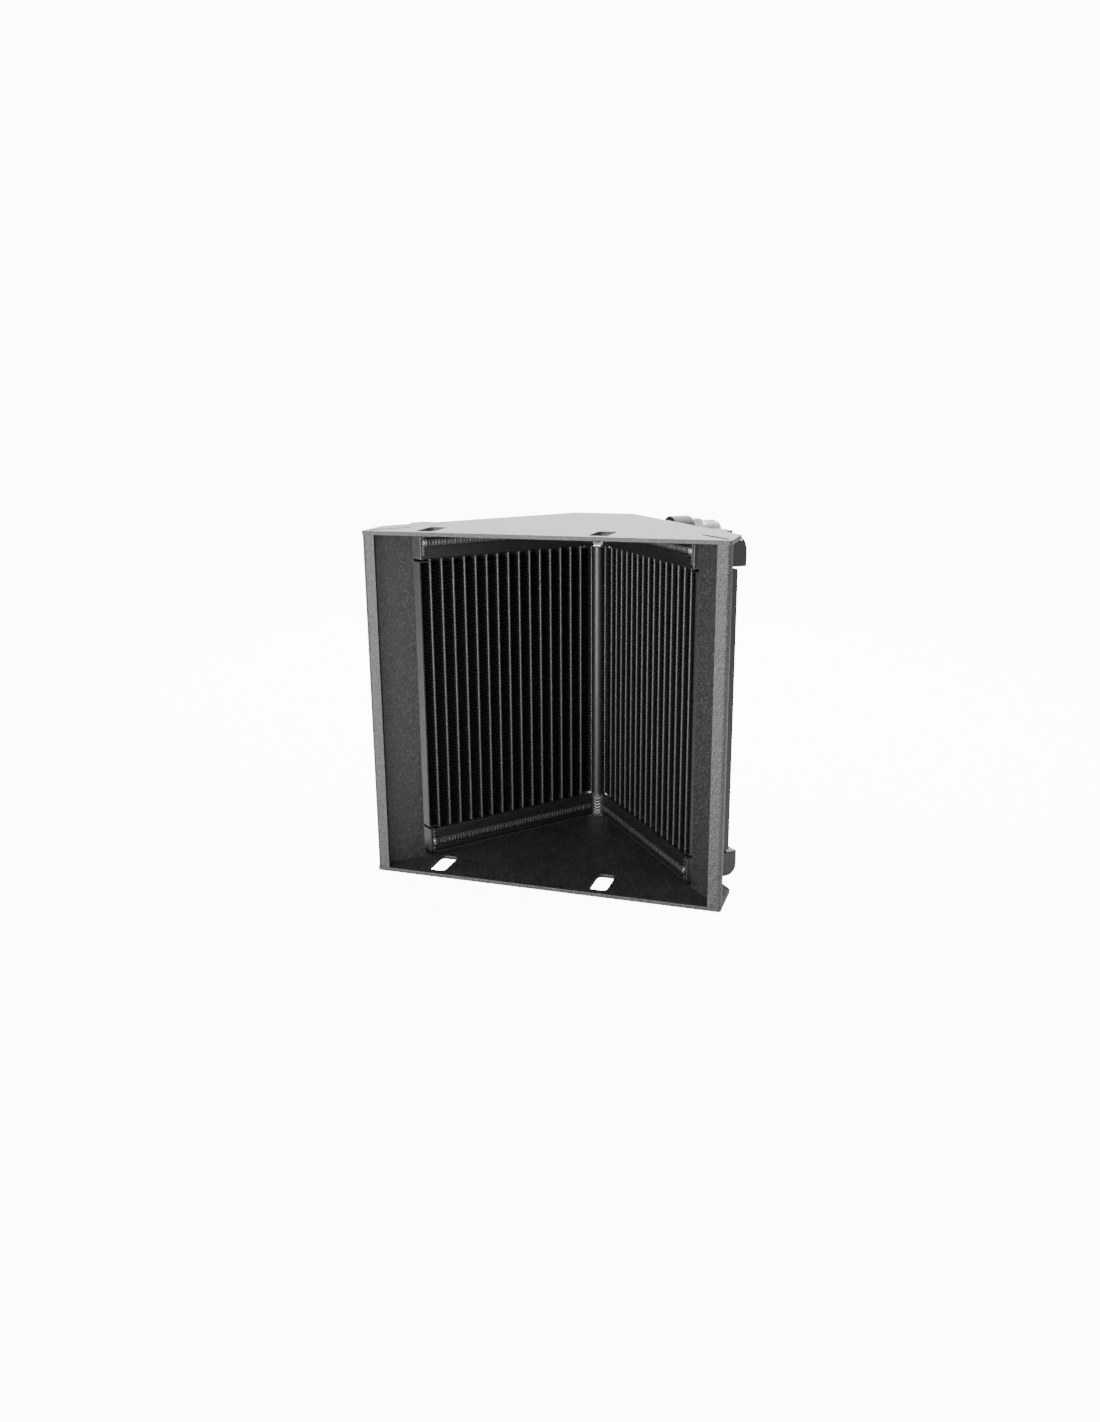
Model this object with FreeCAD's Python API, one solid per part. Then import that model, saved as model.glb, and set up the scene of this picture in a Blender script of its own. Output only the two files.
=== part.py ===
import FreeCAD, Part
import math
import os

os.makedirs("parts", exist_ok=True)

# A heat exchanger with two flat-tube cores set in a V inside a folded sheet housing.
# Origin: middle of the housing's front bottom edge. +X to the right, +Y back, +Z up.
# All lengths are in millimetres, all angles in degrees.

# Core: tubes stand upright, a fin strip fills each gap between them.
tube_count = 15
tube_pitch = 10.0
tube_thick = 2.0
tube_wall = 0.4
core_depth = 32.0
tube_show = 218.0
tube_insert = 5.0
fin_recess = 1.0
fin_end_gap = 3.5
side_plate_thick = 1.0
side_plate_over = 0.7
side_plate_end_gap = 1.5
side_flange_thick = 0.8
side_flange_gap = 0.6
side_bend_radius = 0.8
core_angle = 51.0
apex_half_gap = 6.5

# Tanks: a header channel holds the tubes, a tank channel is welded to it.
header_thick = 2.0
header_height = 11.0
tank_thick = 2.5
tank_height = 9.0
tank_front_over = 3.0
tank_back_over = 8.0
header_edge_radius = 1.5
tank_front_radius = 3.0
tank_back_radius = 8.8
end_cap_thick = 3.0
end_cap_edge = 1.2
braze_gap = 0.05

# Apex pillar between the two cores.
pillar_side_gap = 0.7
pillar_end_gap = 0.8
pillar_back = 2.0

# Housing.
sheet_thick = 3.0
strip_thick = 2.0
strip_margin = 4.0
front_to_core = 35.2
wall_flare = 29.6
corner_flare = 0.7
plate_cover = 25.0
rear_edge = 50.6
front_corner_radius = 2.0
side_corner_radius = 2.5
plate_edge = 0.4
tab_end_gap = 3.0
tab_width = 22.0
tab_reach = 9.0
tab_corner_radius = 2.5
spacer_inset = 1.5
lip_width = 9.8
lip_set_back = 0.6
bend_radius = 0.3
wall_corner_over = 4.5
wall_gap = 2.6
wall_short = 4.3

# Slots in both plates: two for mounting, two for the side panels' tabs.
slot_width = 14.2
slot_length = 29.8
slot_from_front = 6.6
slot_spacing = 131.6
slot_offset = -23.7
slot_radius = 3.5
wall_tab_start = 10.0
wall_tab_end = 1.5
wall_tab_sunk = 1.0
wall_tab_clearance = 0.4

# Ports: a welded bung, an O-ring and a threaded adapter on each.
port_station = 52.0
bung_radius = 13.5
bung_length = 9.5
bung_saddle = 7.5
bung_edge = 1.5
inlet_drop = 6.5
outlet_rise = 14.5
thread_radius = 9.5
thread_gap = 0.05
thread_engage = 9.0
hex_across = 22.2
hex_length = 8.0
hex_chamfer = 0.8
nose_length = 4.0
nose_radius = 7.0
male_length = 14.0
fitting_bore = 5.0
port_hole_radius = 6.5
o_ring_section = 1.0
o_ring_seat = 2.4

# Worked out from the sizes above.
core_width = (tube_count + 1) * tube_pitch
fin_width = tube_pitch - tube_thick
end_height = header_height + tank_height
bottom_tank_z = sheet_thick + strip_thick
bottom_face_z = bottom_tank_z + end_height
top_face_z = bottom_face_z + tube_show
top_tank_z = top_face_z + end_height
housing_height = top_tank_z + strip_thick + sheet_thick
sin_a = math.sin(math.radians(core_angle))
cos_a = math.cos(math.radians(core_angle))
apex_y = front_to_core + core_width * sin_a
half_width = apex_half_gap + core_width * cos_a + wall_flare
tank_front = -tank_front_over
tank_back = core_depth + tank_back_over
fin_end = core_width - tube_thick / 2
arm_end = core_width - end_cap_thick
tank_middle_z = housing_height / 2
same_place = 0.01

X_AXIS = FreeCAD.Vector(1, 0, 0)
Y_AXIS = FreeCAD.Vector(0, 1, 0)
Z_AXIS = FreeCAD.Vector(0, 0, 1)
ORIGIN = FreeCAD.Vector(0, 0, 0)


def at(x, y, z=0.0):
    return FreeCAD.Vector(x, y, z)


def save(name, shape):
    shape.exportStep(os.path.join("parts", name + ".step"))


def core_point(station, depth):
    """Plan position of a point on the right core: station runs from the apex outwards along
    the core's front face, depth runs back through the core."""
    return (
        apex_half_gap + station * cos_a + depth * sin_a,
        apex_y - station * sin_a + depth * cos_a,
    )


def on_right(shape):
    """Place a shape drawn as (station, depth, height) on the right core."""
    placed = shape.copy()
    placed.rotate(ORIGIN, Z_AXIS, -core_angle)
    placed.translate(at(*core_point(0, 0)))
    return placed


def mirrored(shape):
    """The left-hand copy of a right-hand shape."""
    return shape.mirror(ORIGIN, X_AXIS)


def upside_down(shape):
    """The top copy of a shape drawn at the bottom, turned over about mid height."""
    return shape.mirror(at(0, 0, tank_middle_z), Z_AXIS)


def save_both(name, shape):
    """Save a right-core shape and its left-core mirror image."""
    save("right_" + name, on_right(shape))
    save("left_" + name, mirrored(on_right(shape)))


def box(x0, x1, y0, y1, z0, z1):
    return Part.makeBox(x1 - x0, y1 - y0, z1 - z0, at(x0, y0, z0))


def prism(points, z0, z1):
    """Upright prism on a closed plan outline."""
    corners = [at(x, y, z0) for x, y in points]
    return Part.Face(Part.makePolygon(corners + corners[:1])).extrude(at(0, 0, z1 - z0))


def upright_edges(shape, places):
    """The vertical edges that stand on the given plan positions."""
    found = []
    for edge in shape.Edges:
        ends = [v.Point for v in edge.Vertexes]
        if len(ends) == 2 and abs(ends[0].z - ends[1].z) > same_place:
            if any(math.hypot(ends[0].x - x, ends[0].y - y) < same_place for x, y in places):
                found.append(edge)
    return found


def stadium(station, half_thick, depth0, depth1, z0, z1):
    """Upright flat tube outline: two straight sides with half-round ends."""
    a, b = depth0 + half_thick, depth1 - half_thick
    left, right = station - half_thick, station + half_thick
    outline = Part.Wire([
        Part.makeLine(at(right, a, z0), at(right, b, z0)),
        Part.Arc(at(right, b, z0), at(station, depth1, z0), at(left, b, z0)).toShape(),
        Part.makeLine(at(left, b, z0), at(left, a, z0)),
        Part.Arc(at(left, a, z0), at(station, depth0, z0), at(right, a, z0)).toShape(),
    ])
    return Part.Face(outline).extrude(at(0, 0, z1 - z0))


def tube_stations():
    return [tube_pitch * (i + 1) for i in range(tube_count)]


def core_tubes():
    z0, z1 = bottom_face_z - tube_insert, top_face_z + tube_insert
    half = tube_thick / 2
    tubes = []
    for s in tube_stations():
        shell = stadium(s, half, 0, core_depth, z0, z1)
        hollow = stadium(s, half - tube_wall, tube_wall, core_depth - tube_wall, z0, z1)
        tubes.append(shell.cut(hollow))
    return Part.makeCompound(tubes)


def core_fins():
    """One solid per fin strip, standing in for the folded foil between two tubes."""
    z0, z1 = bottom_face_z + fin_end_gap, top_face_z - fin_end_gap
    first = tube_pitch / 2
    return Part.makeCompound([
        box(first + i * tube_pitch - fin_width / 2, first + i * tube_pitch + fin_width / 2,
            fin_recess, core_depth - fin_recess, z0, z1)
        for i in range(tube_count + 1)
    ])


def side_plate(station, towards):
    """Upright side plate whose ends are bent over the outermost fin strip, its inner face at
    the given station. towards is 1 where the fins are at higher stations, else -1."""
    depth0, depth1 = -side_plate_over, core_depth + side_plate_over
    z0, z1 = bottom_face_z + side_plate_end_gap, top_face_z - side_plate_end_gap
    reach = fin_width - side_flange_gap
    outer, tip, inner = -towards * side_plate_thick, towards * reach, 0.0
    section = [(outer, z0), (tip, z0), (tip, z0 + side_flange_thick),
               (inner, z0 + side_flange_thick), (inner, z1 - side_flange_thick),
               (tip, z1 - side_flange_thick), (tip, z1), (outer, z1)]
    corners = [at(station + s, depth0, z) for s, z in section]
    face = Part.Face(Part.makePolygon(corners + corners[:1]))
    plate_shape = face.extrude(at(0, depth1 - depth0, 0))
    bends = through_edges(plate_shape, [(station + outer, z0), (station + outer, z1)])
    return plate_shape.makeFillet(side_bend_radius, bends)


def through_edges(shape, places):
    """Edges that run through the core's depth at the given station and height."""
    return [e for e in shape.Edges
            if abs(e.Vertexes[0].Point.y - e.Vertexes[-1].Point.y) > same_place
            and any(math.hypot(e.Vertexes[0].Point.x - s, e.Vertexes[0].Point.z - z) < same_place
                    for s, z in places)]


def header():
    """Bottom header: a channel whose web faces the tubes and whose lips point down."""
    z0, z1 = bottom_face_z - header_height, bottom_face_z
    channel = box(0, arm_end, tank_front, tank_back, z0, z1)
    channel = channel.makeFillet(header_edge_radius, long_edges(channel, z1))
    channel = channel.cut(box(0, arm_end, tank_front + header_thick, tank_back - header_thick,
                              z0, z1 - header_thick))
    half = tube_thick / 2 + braze_gap
    slots = [stadium(s, half, -braze_gap, core_depth + braze_gap, z0, z1)
             for s in tube_stations()]
    return channel.cut(Part.makeCompound(slots))


def long_edges(shape, z):
    """Edges of a channel that run along the core at the given height."""
    return [e for e in shape.Edges
            if all(abs(v.Point.z - z) < same_place for v in e.Vertexes)
            and abs(e.Vertexes[0].Point.y - e.Vertexes[-1].Point.y) < same_place]


def tank():
    """Bottom tank channel: closes the header from below, walls butted to the header's lips."""
    z0, z1 = bottom_tank_z, bottom_tank_z + tank_height
    outside = tank_bar(0, arm_end, 0, z0, z1)
    return outside.cut(tank_bar(0, arm_end, tank_thick, z0 + tank_thick, z1))


def tank_bar(s0, s1, inset, z0, z1):
    """Solid bar with a tank's rounded bottom edges: small at the front, large at the back."""
    bar = box(s0, s1, tank_front + inset, tank_back - inset, z0, z1)
    front, back = sorted(long_edges(bar, z0), key=lambda e: e.Vertexes[0].Point.y)
    bar = bar.makeFillet(tank_front_radius - inset, [front])
    back = max(long_edges(bar, z0), key=lambda e: e.Vertexes[0].Point.y)
    return bar.makeFillet(tank_back_radius - inset, [back])


def end_cap():
    """Plate that closes a tank's outer end, to the tank's own outline, its outer edge eased."""
    cap = tank_bar(arm_end, arm_end + end_cap_thick, 0, bottom_tank_z, bottom_face_z)
    outer = arm_end + end_cap_thick
    rim = [e for e in cap.Edges if all(abs(v.Point.x - outer) < same_place for v in e.Vertexes)]
    return cap.makeFillet(end_cap_edge, rim)


def apex_block():
    """Hollow block that joins the two bottom tanks at the point of the V."""
    front = core_point(0, tank_front)
    back = core_point(0, tank_back)
    outline = [(-front[0], front[1]), front, back, (-back[0], back[1])]
    block = prism(outline, bottom_tank_z, bottom_face_z)
    rear_bottom = [e for e in block.Edges
                   if all(abs(v.Point.z - bottom_tank_z) < same_place
                          and abs(v.Point.y - back[1]) < same_place for v in e.Vertexes)]
    block = block.makeFillet(tank_back_radius, rear_bottom)
    inner_front = core_point(0, tank_front + tank_thick)
    inner_back = core_point(0, tank_back - tank_thick)
    hollow = [(-inner_front[0], inner_front[1]), inner_front, inner_back,
              (-inner_back[0], inner_back[1])]
    return block.cut(prism(hollow, bottom_tank_z + tank_thick, bottom_face_z - header_thick))


def pillar():
    """Half-round bar, round side to the front, that closes the gap between the cores."""
    radius = apex_half_gap - pillar_side_gap
    y, z0 = apex_y, bottom_face_z + pillar_end_gap
    outline = Part.Wire([
        Part.Arc(at(-radius, y, z0), at(0, y - radius, z0), at(radius, y, z0)).toShape(),
        Part.makeLine(at(radius, y, z0), at(radius, y + pillar_back, z0)),
        Part.makeLine(at(radius, y + pillar_back, z0), at(-radius, y + pillar_back, z0)),
        Part.makeLine(at(-radius, y + pillar_back, z0), at(-radius, y, z0)),
    ])
    return Part.Face(outline).extrude(at(0, 0, tube_show - 2 * pillar_end_gap))


def wall_line():
    """Plan ends of a side wall's outer face: where it would meet the lip's if their bend were
    sharp, and its end beside the core. The end is squared off from the inner face's end."""
    corner = core_point(core_width, -side_plate_over)
    start_x = half_width + wall_corner_over
    inner_x, inner_y = corner[0] + wall_gap - start_x, corner[1] - wall_short - lip_set_back
    reach = math.hypot(inner_x, inner_y)
    turn = math.atan2(inner_y, inner_x) - math.asin(sheet_thick / reach)
    length = math.sqrt(reach ** 2 - sheet_thick ** 2)
    return ((start_x, lip_set_back),
            (start_x + length * math.cos(turn), lip_set_back + length * math.sin(turn)))


def wall_frame():
    """Unit vectors along the side wall (backwards) and across it (inwards), and its length."""
    (x0, y0), (x1, y1) = wall_line()
    length = math.hypot(x1 - x0, y1 - y0)
    along = ((x1 - x0) / length, (y1 - y0) / length)
    return along, (-along[1], along[0]), length


def wall_bar(start, end, side_gap, z0, z1):
    """Upright bar that follows the side wall, from start to end along it."""
    (x0, y0), _ = wall_line()
    along, inwards, _ = wall_frame()
    corners = [(start, -side_gap), (end, -side_gap),
               (end, sheet_thick + side_gap), (start, sheet_thick + side_gap)]
    return prism([(x0 + a * along[0] + b * inwards[0], y0 + a * along[1] + b * inwards[1])
                  for a, b in corners], z0, z1)


def tab_span():
    return wall_tab_start, wall_frame()[2] - wall_tab_end


def side_panel():
    """Right side panel: a front lip folded off a wall that runs back and inwards."""
    z0, z1 = sheet_thick, housing_height - sheet_thick
    (x0, y0), (x1, y1) = wall_line()
    along, inwards, length = wall_frame()
    inner_end = (x1 + sheet_thick * inwards[0], y1 + sheet_thick * inwards[1])
    lip_back = y0 + sheet_thick
    reach = (inner_end[1] - lip_back) / along[1]
    fold = (inner_end[0] - reach * along[0], lip_back)
    lip_end = half_width - lip_width
    panel = prism([(lip_end, y0), (x0, y0), (x1, y1), inner_end, fold, (lip_end, lip_back)],
                  z0, z1)
    outer_radius = bend_radius + sheet_thick
    panel = panel.makeFillet(outer_radius, upright_edges(panel, [(x0, y0)]))
    panel = panel.makeFillet(bend_radius, upright_edges(panel, [fold]))
    start, end = tab_span()
    tabs = wall_bar(start, end, 0, wall_tab_sunk, housing_height - wall_tab_sunk)
    return panel.fuse(tabs).removeSplitter()


def plate(z0):
    """Housing plate: flared sides, long diagonals over the cores and a short rear edge. Its rims
    are eased, but for the one that the housing stands on."""
    z1 = z0 + sheet_thick
    corner_x = half_width + corner_flare
    corner_y = apex_y + (plate_cover - (corner_x - apex_half_gap) * sin_a) / cos_a
    rear_x = rear_edge / 2
    rear_y = apex_y + (plate_cover - (rear_x - apex_half_gap) * sin_a) / cos_a
    right = [(half_width, 0), (corner_x, corner_y)]
    tab = [core_point(s, d) for s, d in plate_tab_corners()]
    right += tab + [(rear_x, rear_y)]
    left = [(-x, y) for x, y in reversed(right)]
    sheet = prism(right + left, z0, z1)
    rounded = ((front_corner_radius, [right[0]]), (side_corner_radius, [right[1]]),
               (tab_corner_radius, tab))
    for radius, places in rounded:
        both_sides = places + [(-x, y) for x, y in places]
        sheet = sheet.makeFillet(radius, upright_edges(sheet, both_sides))
    rims = [e for e in sheet.Edges
            if e.BoundBox.ZMax - e.BoundBox.ZMin < same_place < e.BoundBox.ZMax]
    sheet = sheet.makeFillet(plate_edge, rims)
    start, end = tab_span()
    tab_slot = wall_bar(start - wall_tab_clearance, end + wall_tab_clearance, wall_tab_clearance, z0, z1)
    cuts = [tab_slot, mirrored(tab_slot)]
    for side in (-1, 1):
        cuts.append(mounting_slot(slot_offset + side * slot_spacing / 2, z0, z1))
    return sheet.cut(Part.makeCompound(cuts))


def tab_start():
    """Station at which a plate's welded tab starts, measured back from the end of the arm."""
    return arm_end - tab_end_gap - tab_width


def plate_tab_corners():
    """Station and depth of the corners of the tab that is welded down onto a tank, from the
    outer end inwards. Its sides lean so that it is narrower at its tip."""
    lean = tab_reach / 2
    s0, s1 = tab_start(), tab_start() + tab_width
    tip = plate_cover + tab_reach
    return [(s1, plate_cover), (s1 - lean, tip), (s0 + lean, tip), (s0, plate_cover)]


def tab_spacers(z0):
    """Spacers under the plate's welded tabs, as thick as the foam strips beside them."""
    lean = tab_reach / 2 + spacer_inset
    spacer = on_right(box(tab_start() + lean, tab_start() + tab_width - lean,
                          plate_cover - strip_margin + spacer_inset,
                          tank_back - tank_back_radius, z0, z0 + strip_thick))
    return Part.makeCompound([spacer, mirrored(spacer)])


def mounting_slot(x, z0, z1):
    x0, x1 = x - slot_width / 2, x + slot_width / 2
    y0, y1 = slot_from_front, slot_from_front + slot_length
    slot = box(x0, x1, y0, y1, z0, z1)
    corners = [(x0, y0), (x1, y0), (x1, y1), (x0, y1)]
    return slot.makeFillet(slot_radius, upright_edges(slot, corners))


def seal_strips(z0):
    """Foam strips between the tanks and a housing plate, one over each core."""
    strip = on_right(box(strip_margin, arm_end - strip_margin, 0, plate_cover - strip_margin,
                         z0, z0 + strip_thick))
    return Part.makeCompound([strip, mirrored(strip)])


def along_depth(shape, z):
    """Turn a shape drawn along +Z so that it points out of a tank's back at the port."""
    placed = shape.copy()
    placed.rotate(ORIGIN, X_AXIS, -90)
    placed.translate(at(port_station, tank_back, z))
    return placed


def bung(z):
    """Round welded boss on a bottom tank's back, centred at height z, with a thread and a seat
    for the O-ring. Its foot is cut to the tank's outline and kept clear of the core."""
    body = Part.makeCylinder(bung_radius, bung_saddle + bung_length, at(0, 0, -bung_saddle))
    rim = [e for e in body.Edges if abs(e.BoundBox.ZMin - bung_length) < same_place
           and abs(e.BoundBox.ZMax - bung_length) < same_place]
    body = body.makeFillet(bung_edge, rim)
    bore = Part.makeCylinder(thread_radius + thread_gap, bung_length)
    seat_radius = thread_radius + o_ring_section
    seat = Part.makeCylinder(seat_radius, o_ring_seat, at(0, 0, bung_length - o_ring_seat))
    body = along_depth(body.cut(bore).cut(seat), z)
    core_side = box(0, arm_end, tank_front, tank_back, bottom_face_z - header_edge_radius,
                    housing_height)
    return body.cut(tank_bar(0, arm_end, 0, bottom_tank_z, bottom_face_z)).cut(core_side)


def fitting():
    """Adapter: threaded shank, undercut for the O-ring, hexagon, male thread and cone nose.
    A core rod as thick as the undercut runs through them all."""
    shoulder = bung_length
    hex_radius = hex_across / math.sqrt(3)
    points = [(hex_radius * math.cos(math.radians(60 * i)),
               hex_radius * math.sin(math.radians(60 * i))) for i in range(6)]
    hexagon = prism(points, shoulder, shoulder + hex_length)
    turned = Part.makeCone(hex_across / 2, hex_across / 2 + hex_length, hex_length,
                           at(0, 0, shoulder - hex_chamfer))
    far = Part.makeCone(hex_across / 2 + hex_length, hex_across / 2, hex_length,
                        at(0, 0, shoulder + hex_chamfer))
    hexagon = hexagon.common(turned).common(far).Solids[0]
    neck_radius = thread_radius - o_ring_section
    shank = Part.makeCylinder(thread_radius, thread_engage - o_ring_seat,
                              at(0, 0, shoulder - thread_engage))
    rod = Part.makeCylinder(neck_radius, thread_engage + hex_length + male_length / 2,
                            at(0, 0, shoulder - thread_engage))
    male_z = shoulder + hex_length
    male = Part.makeCylinder(thread_radius, male_length, at(0, 0, male_z))
    nose = Part.makeCone(thread_radius, nose_radius, nose_length,
                         at(0, 0, male_z + male_length))
    whole = shank
    for section in (rod, hexagon, male, nose):
        whole = whole.fuse(section)
    total = thread_engage + hex_length + male_length + nose_length
    return whole.cut(Part.makeCylinder(fitting_bore, total, at(0, 0, shoulder - thread_engage)))


def o_ring():
    centre = thread_radius
    height = bung_length - o_ring_seat / 2
    return Part.makeTorus(centre, o_ring_section, at(0, 0, height))


def port_hole(z):
    """Hole through a tank's back wall behind a bung."""
    return along_depth(Part.makeCylinder(port_hole_radius, 2 * tank_thick,
                                         at(0, 0, -2 * tank_thick)), z)


def save_tank_group():
    """Headers and tanks; the two that carry a port are drilled for it."""
    inlet_z = housing_height - sheet_thick - strip_thick - inlet_drop
    bottom = {"header": header(), "tank": tank()}
    for name, shape in bottom.items():
        top = upside_down(shape)
        save("bottom_right_" + name, on_right(shape))
        save("bottom_left_" + name, mirrored(on_right(shape.cut(port_hole(outlet_rise)))))
        save("top_right_" + name, on_right(top.cut(port_hole(inlet_z))))
        save("top_left_" + name, mirrored(on_right(top)))
    save("inlet_bung", on_right(upside_down(bung(housing_height - inlet_z))))
    save("outlet_bung", mirrored(on_right(bung(outlet_rise))))
    for name, shape in (("fitting", fitting()), ("o_ring", o_ring())):
        save("inlet_" + name, on_right(along_depth(shape, inlet_z)))
        save("outlet_" + name, mirrored(on_right(along_depth(shape, outlet_rise))))


def save_end_caps():
    cap = end_cap()
    for level, shape in (("bottom", cap), ("top", upside_down(cap))):
        save(level + "_right_end_cap", on_right(shape))
        save(level + "_left_end_cap", mirrored(on_right(shape)))


save("bottom_plate", plate(0))
save("top_plate", plate(housing_height - sheet_thick))
save("right_side_panel", side_panel())
save("left_side_panel", mirrored(side_panel()))
save_both("core_tubes", core_tubes())
save_both("core_fins", core_fins())
save_both("inner_side_plate", side_plate(tube_thick / 2, 1))
save_both("outer_side_plate", side_plate(fin_end, -1))
save_tank_group()
save_end_caps()
save("bottom_apex_block", apex_block())
save("top_apex_block", upside_down(apex_block()))
save("apex_pillar", pillar())
save("bottom_seal_strips", seal_strips(sheet_thick))
save("top_seal_strips", seal_strips(top_tank_z))
save("bottom_tab_spacers", tab_spacers(sheet_thick))
save("top_tab_spacers", tab_spacers(top_tank_z))
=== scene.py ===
import math

import bmesh
import bpy
import numpy as np
from bpy.props import (FloatProperty, FloatVectorProperty, IntProperty, PointerProperty)
from mathutils import Matrix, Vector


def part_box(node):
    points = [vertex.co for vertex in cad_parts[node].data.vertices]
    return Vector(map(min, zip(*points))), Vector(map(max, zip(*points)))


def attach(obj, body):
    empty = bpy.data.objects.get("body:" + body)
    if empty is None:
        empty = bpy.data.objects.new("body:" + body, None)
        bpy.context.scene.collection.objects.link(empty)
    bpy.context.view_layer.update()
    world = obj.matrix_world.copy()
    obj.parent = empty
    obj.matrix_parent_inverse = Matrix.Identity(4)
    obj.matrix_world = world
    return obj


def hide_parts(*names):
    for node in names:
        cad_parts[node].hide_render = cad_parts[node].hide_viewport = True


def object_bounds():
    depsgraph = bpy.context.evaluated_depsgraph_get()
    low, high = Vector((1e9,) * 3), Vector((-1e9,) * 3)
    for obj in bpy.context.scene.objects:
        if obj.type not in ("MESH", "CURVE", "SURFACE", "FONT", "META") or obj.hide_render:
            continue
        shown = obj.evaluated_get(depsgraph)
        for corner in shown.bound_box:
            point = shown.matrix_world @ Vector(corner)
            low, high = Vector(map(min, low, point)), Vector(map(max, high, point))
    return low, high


bl_info = {
    "name": "Twin-core cooler looks",
    "version": (1, 0, 0),
    "blender": (4, 5, 0),
    "location": "3D View > Sidebar > Cooler",
    "description": "Folded fins, weld beads, threaded fittings and coats for a twin-core cooler",
    "category": "Object",
}

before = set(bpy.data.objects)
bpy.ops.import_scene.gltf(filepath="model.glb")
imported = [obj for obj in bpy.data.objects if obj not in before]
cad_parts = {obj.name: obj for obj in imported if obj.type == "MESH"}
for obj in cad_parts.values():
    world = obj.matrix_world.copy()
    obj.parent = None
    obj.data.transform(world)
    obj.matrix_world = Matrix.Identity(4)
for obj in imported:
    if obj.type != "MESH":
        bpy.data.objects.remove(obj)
CAD_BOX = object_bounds()
MM = 0.001
SIDES = (("left", -1.0), ("right", 1.0))
LEVELS = (("bottom", 1.0), ("top", -1.0))


def box_mm(node):
    """Lowest and highest corner of a CAD node, in millimetres."""
    low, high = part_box(node)
    return np.array(low) / MM, np.array(high) / MM


# ---------------------------------------------------------------- sizes and colours

def length(name, description, mm, least=0.01, most=500.0):
    """A length setting, kept in metres."""
    return FloatProperty(name=name, description=description, default=mm * MM, min=least * MM,
                         max=most * MM, unit="LENGTH", precision=5)


def angle(name, description, degrees):
    return FloatProperty(name=name, description=description, default=math.radians(degrees),
                         unit="ROTATION")


def strength(name, description, value, unit="NONE"):
    return FloatProperty(name=name, description=description, default=value, min=0.0, unit=unit)


def colour(name, description, rgb):
    return FloatVectorProperty(name=name, description=description, default=(*rgb, 1.0), size=4,
                               min=0.0, max=1.0, subtype="COLOR")


class CoolerCoreSizes(bpy.types.PropertyGroup):
    angle: angle("Core angle", "Slant of each core from straight across", 51.0)
    half_gap: length("Half gap", "From the middle to where each core starts", 6.5)
    tube_pitch: length("Tube pitch", "From one flat tube to the next", 10.0)
    tube_thick: length("Tube thickness", "Across a flat tube", 2.0)
    tubes: IntProperty(name="Tubes", description="Flat tubes in each core", default=15, min=1)
    depth: length("Core depth", "From the front to the back of the tubes", 32.0)
    fin_recess: length("Fin recess", "How far the foil sits behind the tubes' noses", 1.0)
    front_over: length("Tank front", "How far the tanks stand in front of the core", 3.0)
    back_over: length("Tank back", "How far the tanks stand behind the core", 8.0)
    front_round: length("Tank front radius", "Rounding of the tanks' front edge", 3.0)
    back_round: length("Tank back radius", "Rounding of the tanks' back edge", 8.8)
    header_round: length("Header radius", "Rounding of the headers' edges", 1.5)
    arm_end: length("Arm length", "From the apex to where the end caps start", 157.0)
    tank_low: length("Tank bottom", "Height of the bottom tanks' underside", 5.0)
    seam: length("Seam height", "Height of the seam between bottom tank and header", 14.0)
    header_top: length("Header top", "Height of the bottom headers' upper face", 25.0)


class CoolerFoilSizes(bpy.types.PropertyGroup):
    wave: length("Fold pitch", "Height of one full fold of the foil", 2.98)
    thick: length("Foil thickness", "Thickness of the folded foil with its coat", 0.28)
    ripple: length("Ripple", "How far each fold is bent up and down along its depth", 0.7)
    steps: IntProperty(name="Steps", description="Points along one fold", default=10, min=6)


class CoolerWeldSizes(bpy.types.PropertyGroup):
    seam_width: length("Seam bead width", "Height of the long beads on the tanks", 6.6)
    seam_rise: length("Seam bead rise", "How far the long beads stand out", 1.3)
    ripple: length("Ripple pitch", "From one ripple of a bead to the next", 2.7)
    ripple_depth: strength("Ripple depth", "Share of the rise that is ripple", 0.6)
    cap_width: length("Cap bead width", "Width of the beads round the end caps", 2.6)
    cap_rise: length("Cap bead rise", "How far the end caps' beads stand out", 0.45)
    cap_inset: length("Cap bead inset", "How far the caps' beads sit inside the joint", 0.3)
    apex_width: length("Apex bead width", "Width of the upright beads at the apex", 8.0)
    apex_rise: length("Apex bead rise", "How far the upright beads stand out", 1.5)
    bung_width: length("Bung bead width", "Width of the beads round the bungs", 4.0)
    tab_width: length("Tab bead width", "Width of the beads at the plates' tabs", 3.0)
    tab_near: length("Tab bead end", "From the arms' ends to the tabs' beads", 8.0)
    tab_length: length("Tab bead length", "Length of the beads at the plates' tabs", 12.0)
    tab_height: length("Tab bead height", "Height of the bottom tabs' beads", 4.3)
    fillet_width: length("Fillet width", "Width of the fillets beside the pillar", 1.3)
    fillet_rise: length("Fillet rise", "How far those fillets stand out", 0.35)
    end_fillet: strength("End fillet", "Size of the pillar's end fillets to its side ones", 1.3)


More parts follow.
